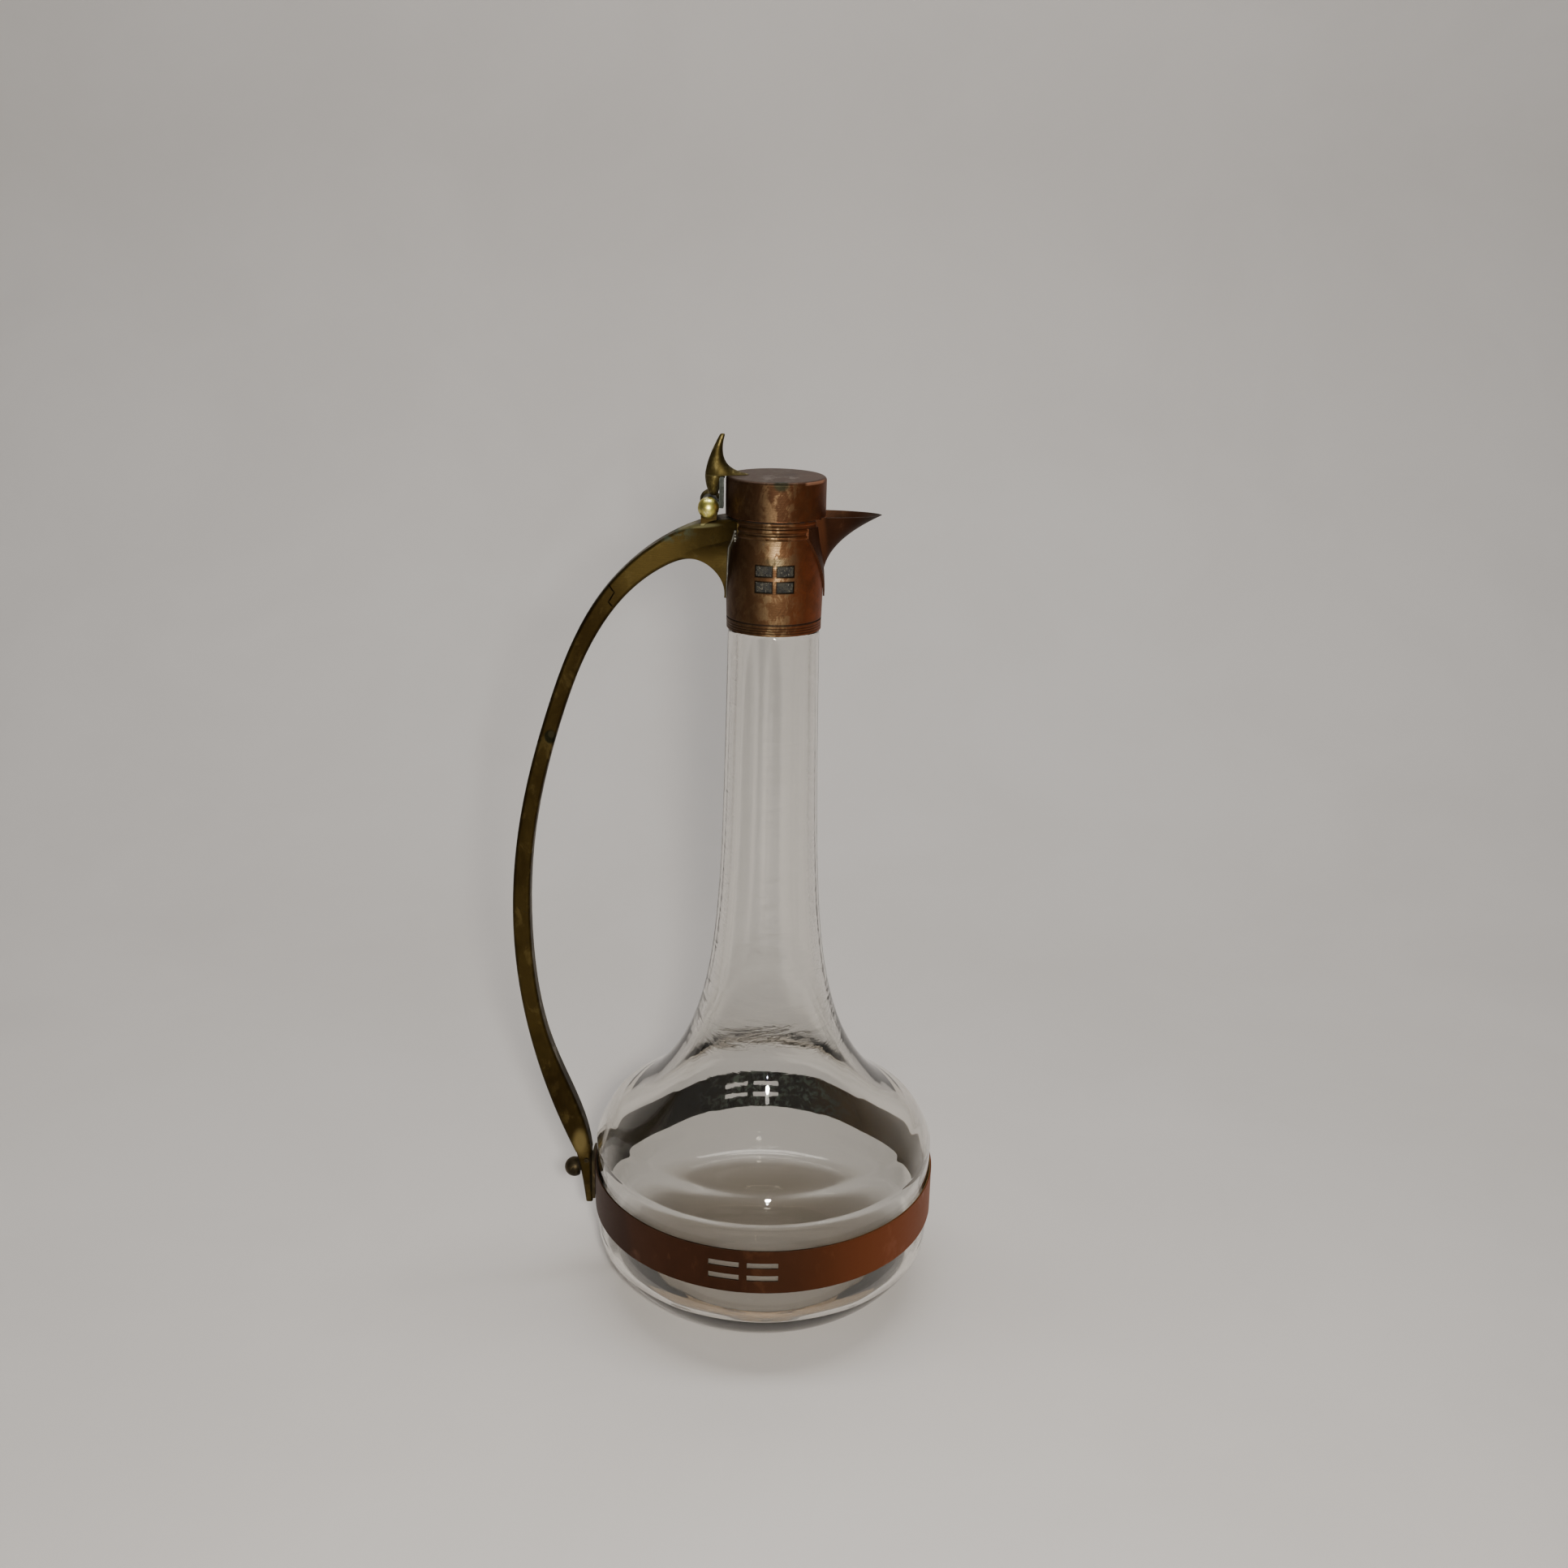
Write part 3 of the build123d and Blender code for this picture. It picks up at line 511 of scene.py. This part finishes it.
def handle_finish():
    """Olive brass with dark edges, a green root with a painted highlight along its top, a round flaw half way
    down and a polished foot.
    """
    metal = new_metal("handle brass")
    tree = metal["tree"]
    place = metal["place"]
    worn = (0.095, 0.068, 0.022, 1)
    patina(metal, (0.024, 0.015, 0.0045, 1), (0.055, 0.037, 0.0105, 1), worn, 38.0, 150.0, 0.52)
    weather(metal, (0.013, 0.009, 0.004, 1), 0.85, (0.01, 0.008, 0.004, 1))
    upper = nearness(tree, place, (-38, 0, 292), (34, 12, 15), 0.6)
    stain(metal, reckon(tree, "MULTIPLY", upper, 0.5), (0.06, 0.042, 0.012, 1))
    root = nearness(tree, place, (-42, 0, 303), (12, 9, 4), 0.6)
    bloom = between(tree, grain(tree, place, 330.0, 5.0, 0.65), 0.42, 0.6)
    stain(metal, reckon(tree, "MULTIPLY", root, bloom), GREEN, 0.8)
    joint = seams(metal, zip(SCARF_STEPS, SCARF_STEPS[1:]), 0.24)
    stain(metal, joint, (0.003, 0.002, 0.001, 1))
    # Painted highlight: a light olive strip along the top of the handle's root.
    ridge = seams(metal, ROOT_HIGHLIGHT_LINES, 0.7)
    stain(metal, reckon(tree, "MULTIPLY", ridge, 0.85), (0.17, 0.155, 0.07, 1))
    flaw = nearness(tree, place, (-80.4, -4, 226.2), (2.2, 3, 2.6), 0.2)
    pit = nearness(tree, place, (-80.0, -4, 227.2), (1.2, 3, 1.4), 0.3)
    stain(metal, reckon(tree, "MULTIPLY", flaw, 0.85), (0.007, 0.009, 0.005, 1))
    stain(metal, reckon(tree, "MULTIPLY", pit, 0.5), (0.05, 0.042, 0.02, 1))
    metal["cuts"] = reckon(tree, "MULTIPLY", flaw, 0.3)
    polished = nearness(tree, place, (-72.6, -4, 58.5), (2.6, 5, 5), 0.5)
    stain(metal, reckon(tree, "MULTIPLY", polished, 0.7), (0.25, 0.19, 0.07, 1))
    metal["shine"] = reckon(tree, "MAXIMUM", metal["shine"], polished)
    return settle(metal, 0.34)


def horn_finish():
    """Dark olive brass with small gold patches."""
    metal = new_metal("horn brass")
    patina(metal, (0.04, 0.029, 0.009, 1), (0.105, 0.08, 0.026, 1), (0.22, 0.175, 0.065, 1), 60.0, 260.0, 0.5)
    weather(metal, (0.03, 0.024, 0.01, 1), 0.7, (0.012, 0.01, 0.005, 1))
    return settle(metal, 0.4)


def ball_finish():
    """Bright brass, a little spotted."""
    metal = new_metal("ball brass")
    patina(metal, (0.42, 0.36, 0.08, 1), (0.74, 0.67, 0.17, 1), (0.95, 0.9, 0.5, 1), 150.0, 420.0, 0.48)
    weather(metal, (0.2, 0.15, 0.05, 1), 0.3, (0.05, 0.04, 0.015, 1))
    return settle(metal, 0.2)


def dark_finish():
    """Blackened brass for the lug, the screw and the pin."""
    metal = new_metal("dark brass")
    patina(metal, (0.03, 0.024, 0.014, 1), (0.085, 0.065, 0.035, 1), (0.2, 0.15, 0.07, 1), 90.0, 260.0, 0.54)
    weather(metal, (0.26, 0.2, 0.09, 1), 0.4, (0.014, 0.011, 0.007, 1))
    return settle(metal, 0.38)


def leaf_finish():
    """Grey, faintly green metal for the hinge leaf."""
    metal = new_metal("leaf metal")
    patina(metal, (0.022, 0.024, 0.02, 1), (0.06, 0.066, 0.056, 1), (0.22, 0.24, 0.21, 1), 120.0, 300.0, 0.54)
    weather(metal, (0.16, 0.17, 0.15, 1), 0.4, (0.015, 0.015, 0.01, 1))
    return settle(metal, 0.38)


def solder_finish():
    """Grey solder, crusty in places."""
    metal = new_metal("solder")
    patina(metal, (0.1, 0.095, 0.08, 1), (0.27, 0.26, 0.22, 1), (0.5, 0.49, 0.43, 1), 160.0, 500.0, 0.5)
    weather(metal, (0.5, 0.48, 0.42, 1), 0.3, (0.04, 0.035, 0.025, 1))
    return settle(metal, 0.42)


# Cement and glass

def cement_finish():
    """Dark grey green plaster, gritty and dull, with small light specks painted as glints."""
    finish, tree, shader, place = new_finish("cement")
    cloud = use(tree, CLOUDY, Place=place, Scale=420.0, Low=0.4, High=0.62)["Cloud"]
    grit = grain(tree, place, 1500.0, 5.0, 0.7)
    tone = tint(tree, cloud, (0.006, 0.0055, 0.003, 1), (0.03, 0.027, 0.016, 1))
    # Painted glints: small light specks in the plaster.
    tone = tint(tree, between(tree, grit, 0.6, 0.66), tone, (0.2, 0.175, 0.12, 1))
    feed(tree, shader.inputs["Base Color"], tone)
    feed(tree, shader.inputs["Roughness"], between(tree, grit, 0.2, 0.8, 0.85, 0.5))
    raise_surface(tree, shader, grit, 0.3)
    return finish


def glass_finish():
    """Clear blown glass, faintly warm where it is thick, with ripples that run round it."""
    finish, tree, shader, place = new_finish("glass")
    shader.inputs["Base Color"].default_value = (0.985, 0.985, 0.97, 1)
    shader.inputs["Roughness"].default_value = 0.0
    shader.inputs["IOR"].default_value = 1.52
    shader.inputs["Transmission Weight"].default_value = 1.0
    rings = grain(tree, stretched(tree, place, (3.5, 3.5, 1)), 150.0, 4.0, 0.55, 0.8)
    upright = put(tree, "ShaderNodeSeparateXYZ")
    feed(tree, upright.inputs[0], place)
    in_the_neck = between(tree, upright.outputs["Z"], 96 * MM, 118 * MM, 0.12, 2.0)
    rings = reckon(tree, "MULTIPLY", rings, in_the_neck)
    broad = reckon(tree, "MULTIPLY", grain(tree, place, 30.0, 1.0), 0.6)
    raise_surface(tree, shader, reckon(tree, "ADD", rings, broad), 0.2, 0.5)
    result = next(node for node in tree.nodes if node.type == "OUTPUT_MATERIAL")
    depth = put(tree, "ShaderNodeVolumeAbsorption")
    depth.inputs["Color"].default_value = (0.74, 0.63, 0.46, 1)
    depth.inputs["Density"].default_value = 29.0
    tree.links.new(depth.outputs["Volume"], result.inputs["Volume"])
    return finish


GLASS = glass_finish()
SOLDER = solder_finish()
HORN_BRASS = horn_finish()


def dress(names, finish):
    """Gives a finish to the whole surface of some nodes."""
    for name in names:
        for slot in nodes[name].material_slots:
            slot.material = finish


dress(["neck_cement"], cement_finish())
dress(["collar"], collar_finish())
dress(["spout"], spout_finish())
dress(["handle_upper", "handle_lower"], handle_finish())
dress(["hinge_pin", "hinge_ball_front"], ball_finish())
dress(["belly_band"], band_finish())
dress(["band_lug", "clamp_screw", "foot_pin"], dark_finish())
dress(["lid", "lid_seat_ring"], lid_finish())
dress(["hinge_leaf"], leaf_finish())
dress(["thumbpiece", "hinge_ball_rear"], HORN_BRASS)


# Pieces

def smooth_object(name, shape, finish):
    """A smooth shaded object from a finished bmesh."""
    mesh = bpy.data.meshes.new(name)
    shape.to_mesh(mesh)
    shape.free()
    for face in mesh.polygons:
        face.use_smooth = True
    mesh.materials.append(finish)
    made = bpy.data.objects.new(name, mesh)
    SCENE.collection.objects.link(made)
    return made


def new_piece(name, shape, body, finish):
    """A smooth shaded piece of the jug, riding on a body."""
    piece = smooth_object(name, shape, finish)
    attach(piece, body)
    return piece


def round_off(piece):
    """Rounds a piece's facets."""
    rounding = piece.modifiers.new("rounding", "SUBSURF")
    rounding.levels = 2
    rounding.render_levels = 2


def spin_profile(shape, profile, steps, start):
    """Turns radius and height pairs in millimetres round the upright axis, from a start angle."""
    across = Vector((math.cos(math.radians(start)), math.sin(math.radians(start)), 0))
    points = [
        shape.verts.new(across * radius * MM + Vector((0, 0, height * MM)))
        for radius, height in profile
    ]
    edges = [shape.edges.new(pair) for pair in zip(points, points[1:])]
    bmesh.ops.spin(
        shape, geom=points + edges, cent=(0, 0, 0), axis=(0, 0, 1), angle=math.tau, steps=steps,
        use_merge=True, use_duplicate=False,
    )
    bmesh.ops.remove_doubles(shape, verts=shape.verts, dist=1e-6)


def level_at(pairs, height):
    """The value at a height, straight between the pairs given."""
    for (low, first), (high, second) in zip(pairs, pairs[1:]):
        if low <= height <= high:
            return first + (second - first) * (height - low) / (high - low)
    return 0.0


PANEL_COUNT = 12
PANEL_TURN = 2.0
PANEL_CREASE = 0.15
PANEL_BOTTOM, PANEL_TOP = 20, 262
# Height and depth of a panel's middle
PANEL_DEPTH = [
    (20, 0), (25, 0.5), (33, 0.45), (40, 0.15), (60, 0.12), (70, 0.04),
    (120, 0.05), (160, 0.28), (262, 0.28), (266, 0),
]


def press_panels(shape):
    """Presses faint upright panels into a round skin, with a crease where two of them meet."""
    half = 180 / PANEL_COUNT
    crease = shape.edges.layers.float.new("crease_edge")
    meets = set()
    for vert in shape.verts:
        height = vert.co.z / MM
        turn = math.degrees(math.atan2(vert.co.x, -vert.co.y)) - PANEL_TURN
        off = turn % (2 * half) - half
        depth = level_at(PANEL_DEPTH, height) * (1 - (off / half) ** 2)
        radius = math.hypot(vert.co.x, vert.co.y)
        if radius > 0:
            vert.co.xy *= 1 - depth * MM / radius
        on_edge = abs(off) > half - 0.5
        if on_edge and PANEL_BOTTOM < height < PANEL_TOP:
            meets.add(vert)
    for edge in shape.edges:
        upright = abs(edge.verts[0].co.z - edge.verts[1].co.z) > 1e-5
        if upright and all(vert in meets for vert in edge.verts):
            edge[crease] = PANEL_CREASE


# The glass in section: radius and height, from the middle of the foot up to the lip, and back down inside
GLASS_OUTER = [
    (0, 0), (15, 0), (30, 0), (41, 0), (43.4, 0.3), (44.6, 1.1), (50.2, 4.4), (57.6, 10.2),
    (62.6, 16.6), (64.9, 20.3), (65.5, 21.7), (65.75, 22.6), (66.0, 24.6), (66.1, 25.8), (66.1, 34),
    (66.1, 44), (66.1, 55), (66.1, 61.6), (66.1, 62.7), (66.0, 63.1), (65.8, 63.6), (65.0, 65.5),
    (63.4, 68.7), (61.4, 72.0), (59.9, 73.4), (55.5, 76.1), (50.1, 80.2), (45.2, 84.8),
    (40.0, 90.7), (35.5, 97.2), (31.7, 104.1), (28.4, 111.7), (25.7, 119.9), (23.5, 128.7),
    (21.8, 138.1), (20.4, 148.2), (19.1, 162.8), (18.0, 183.0), (17.4, 205.3), (17.0, 230.0),
    (16.7, 250), (16.47, 266.4), (16.3, 267.9), (15.5, 268.1), (15.2, 268.6), (15.2, 282),
    (15.2, 295.4), (15.0, 296.6), (14.0, 296.8),
]
GLASS_INNER = [
    (14.0, 296.8), (12.9, 296.6), (12.6, 295.8), (12.8, 280), (13.3, 255), (14.0, 230),
    (14.4, 205.2), (15.1, 182.6), (16.2, 162.0), (17.6, 147.0), (19.1, 136.6), (20.9, 126.8),
    (23.1, 117.7), (25.9, 109.2), (29.2, 101.3), (33.1, 94.0), (37.6, 87.4), (42.8, 81.2),
    (47.7, 76.6), (53.2, 72.2), (57.6, 69.3), (60.0, 66.2), (62.2, 61.6), (63.0, 59.4), (63.1, 57),
    (63.1, 50), (63.1, 40), (63.1, 29), (62.9, 23.2), (61.8, 19.5), (57.7, 15.9), (50.0, 13.0),
    (39.7, 11.3), (27.5, 10.4), (14.1, 10.05), (0, 10),
]
GLASS_STEPS = 60


def blow_glass():
    """The glass: a panelled outer skin and a smooth inner one, joined at the lip."""
    shape = bmesh.new()
    spin_profile(shape, GLASS_OUTER, GLASS_STEPS, PANEL_TURN)
    press_panels(shape)
    spin_profile(shape, GLASS_INNER, GLASS_STEPS, PANEL_TURN)
    bmesh.ops.recalc_face_normals(shape, faces=shape.faces)
    glass = new_piece("glass", shape, "jug", GLASS)
    round_off(glass)
    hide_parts("glass_body")


# Height, back, front and half width of each level of the horn
HORN_LEVELS = [
    (314.5, -23.1, -20.4, 1.9), (316.3, -23.9, -20.0, 2.5), (318.6, -24.6, -19.3, 3.0),
    (320.4, -24.85, -18.1, 3.3), (321.4, -24.9, -17.75, 3.4), (321.7, -24.9, -17.7, 3.4),
    (322.02, -24.9, -9.4, 3.4), (322.12, -24.9, -9.3, 3.4), (322.5, -24.88, -10.6, 3.2),
    (322.9, -24.8, -12.5, 3.1), (323.9, -24.6, -15.2, 2.9), (325.6, -24.2, -17.3, 2.7),
    (328.1, -23.4, -18.55, 2.4), (331.0, -22.2, -18.8, 1.9), (333.2, -21.1, -18.6, 1.4),
    (334.8, -20.3, -18.2, 1.0), (335.7, -19.8, -18.0, 0.75), (336.0, -19.4, -18.3, 0.45),
]
HORN_SIDES = 24


def bend_horn():
    """The thumb lever: level ellipses that sweep up from the lid into a horn."""
    shape = bmesh.new()
    rings = []
    for number, (height, back, front, half) in enumerate(HORN_LEVELS):
        at_end = number in (0, len(HORN_LEVELS) - 1)
        spot = Matrix.Translation(Vector(((back + front) / 2, 0, height)) * MM)
        size = Matrix.Diagonal(((front - back) / 2 * MM, half * MM, 1, 1))
        made = bmesh.ops.create_circle(
            shape, cap_ends=at_end, segments=HORN_SIDES, radius=1, matrix=spot @ size,
        )["verts"]
        rings.append([edge for edge in shape.edges if all(vert in made for vert in edge.verts)])
    for lower, upper in zip(rings, rings[1:]):
        bmesh.ops.bridge_loops(shape, edges=lower + upper)
    bmesh.ops.recalc_face_normals(shape, faces=shape.faces)
    horn = new_piece("horn", shape, "lid", HORN_BRASS)
    round_off(horn)
    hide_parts("thumbpiece")


# Distance of the seam's middle from the jug's axis, and its own radius
SEAM_RADIUS = 17.1
SEAM_THICKNESS = 0.3
# Height, and half width of the saddle there
SEAM_COURSE = [
    (304.0, 9.9), (300.5, 8.3), (297.2, 5.4), (293.4, 4.5), (289.6, 4.05), (284.2, 3.2), (278.7, 2.5),
]
# Distance below the seam's top, and radius
SEAM_BEADS = [(0.2, 0.55), (1.5, 0.45), (2.6, 0.6), (3.5, 0.35)]


def solder_seam(name, side):
    """A line of solder down the edge of the handle's saddle, with beads at its top."""
    path = bpy.data.curves.new(name, "CURVE")
    path.dimensions = "3D"
    path.bevel_depth = SEAM_THICKNESS * MM
    path.bevel_resolution = 3
    path.use_fill_caps = True
    line = path.splines.new("POLY")
    line.points.add(len(SEAM_COURSE) - 1)
    spots = [
        Vector((-math.sqrt(SEAM_RADIUS ** 2 - half ** 2), side * half, height)) * MM
        for height, half in SEAM_COURSE
    ]
    for point, spot in zip(line.points, spots):
        point.co = (*spot, 1)
    bent = bpy.data.objects.new(name, path)
    tube = bent.to_mesh()
    shape = bmesh.new()
    shape.from_mesh(tube)
    bent.to_mesh_clear()
    for drop, radius in SEAM_BEADS:
        at = Matrix.Translation(spots[0] + Vector((0, 0, -drop * MM)))
        bmesh.ops.create_icosphere(shape, subdivisions=2, radius=radius * MM, matrix=at)
    bmesh.ops.recalc_face_normals(shape, faces=shape.faces)
    new_piece(name, shape, "jug", SOLDER)


blow_glass()
bend_horn()
solder_seam("solder_front", -1)
solder_seam("solder_rear", 1)


# Camera, floor and light

# Place in metres, turns in degrees, focal length and frame in pixels, sensor in millimetres
CAMERA_PLACE = (0, -0.59018, 0.41075)
CAMERA_YAW, CAMERA_PITCH, CAMERA_ROLL = 0.481, 18.912, -1.263
FOCAL_LENGTH, FRAME_WIDTH = 2080, 1932
SENSOR_WIDTH = 36


def place_camera():
    """The photograph's own viewpoint."""
    yaw, pitch, roll = (math.radians(turn) for turn in (CAMERA_YAW, CAMERA_PITCH, CAMERA_ROLL))
    ahead = Vector((math.sin(yaw) * math.cos(pitch), math.cos(yaw) * math.cos(pitch), -math.sin(pitch)))
    right = Vector((math.cos(yaw), -math.sin(yaw), 0))
    down = ahead.cross(right)
    across = right * math.cos(roll) + down * math.sin(roll)
    under = down * math.cos(roll) - right * math.sin(roll)
    turn = Matrix((across, -under, -ahead)).transposed().to_4x4()
    lens = bpy.data.cameras.new("camera")
    lens.sensor_width = SENSOR_WIDTH
    lens.lens = FOCAL_LENGTH * SENSOR_WIDTH / FRAME_WIDTH
    lens.clip_start = 0.01
    camera = bpy.data.objects.new("camera", lens)
    camera.matrix_world = Matrix.Translation(CAMERA_PLACE) @ turn
    SCENE.collection.objects.link(camera)
    SCENE.camera = camera


# In metres; the floor lies a hair under the jug
FLOOR_LEVEL, FLOOR_FRONT, FLOOR_BACK = -0.0003, -2.2, 0.75
FLOOR_WIDTH, FLOOR_BEND, BACKDROP_TOP = 4.8, 0.45, 1.9


def make_floor():
    """A pale floor that sweeps up into a backdrop."""
    shape = bmesh.new()
    course = ((FLOOR_FRONT, FLOOR_LEVEL), (FLOOR_BACK, FLOOR_LEVEL), (FLOOR_BACK, BACKDROP_TOP))
    corners = [shape.verts.new((-FLOOR_WIDTH / 2, y, z)) for y, z in course]
    edges = [shape.edges.new(pair) for pair in zip(corners, corners[1:])]
    moved = bmesh.ops.extrude_edge_only(shape, edges=edges)["geom"]
    far_side = [item for item in moved if isinstance(item, bmesh.types.BMVert)]
    bmesh.ops.translate(shape, verts=far_side, vec=(FLOOR_WIDTH, 0, 0))
    bend = [edge for edge in shape.edges if all(v.co.y > 0 and v.co.z < 0 for v in edge.verts)]
    bmesh.ops.bevel(
        shape, geom=bend, offset=FLOOR_BEND, segments=24, affect="EDGES", profile=0.5, material=-1,
    )
    bmesh.ops.recalc_face_normals(shape, faces=shape.faces)
    finish, tree, shader, place = new_finish("floor")
    faint = use(tree, CLOUDY, Place=place, Scale=6.0, Low=0.3, High=0.7)["Cloud"]
    tone = tint(tree, faint, (0.65, 0.615, 0.575, 1), (0.68, 0.645, 0.605, 1))
    feed(tree, shader.inputs["Base Color"], tone)
    shader.inputs["Roughness"].default_value = 0.75
    floor = smooth_object("floor", shape, finish)


def softbox(name, place, aim, width, height, watts, colour=(1, 1, 1)):
    """A rounded studio light that faces a point."""
    light = bpy.data.lights.new(name, "AREA")
    light.shape = "ELLIPSE"
    light.size = width
    light.size_y = height
    light.energy = watts
    light.color = colour
    lamp = bpy.data.objects.new(name, light)
    lamp.location = place
    lamp.rotation_euler = (Vector(aim) - Vector(place)).to_track_quat("-Z", "Y").to_euler()
    SCENE.collection.objects.link(lamp)


def light_studio():
    """A dim room, a soft key beside the camera, a small lamp for glints and a light on the backdrop."""
    world = bpy.data.worlds.new("studio")
    world.use_nodes = True
    sky = world.node_tree.nodes["Background"]
    sky.inputs["Color"].default_value = (1.0, 0.98, 0.98, 1)
    sky.inputs["Strength"].default_value = 0.12
    SCENE.world = world
    softbox("key", (0.04, -0.64, 0.44), (0, 0, 0.2), 0.055, 0.055, 4.4, (1, 0.96, 0.91))
    softbox("glint", (0.03, -0.6, 0.35), (0, 0, 0.2), 0.012, 0.012, 0.35)
    softbox("backdrop light", (0, 0.1, 1.75), (0, 0.75, 0.55), 1.6, 0.5, 16.0, (0.97, 0.98, 1))


place_camera()
make_floor()
light_studio()
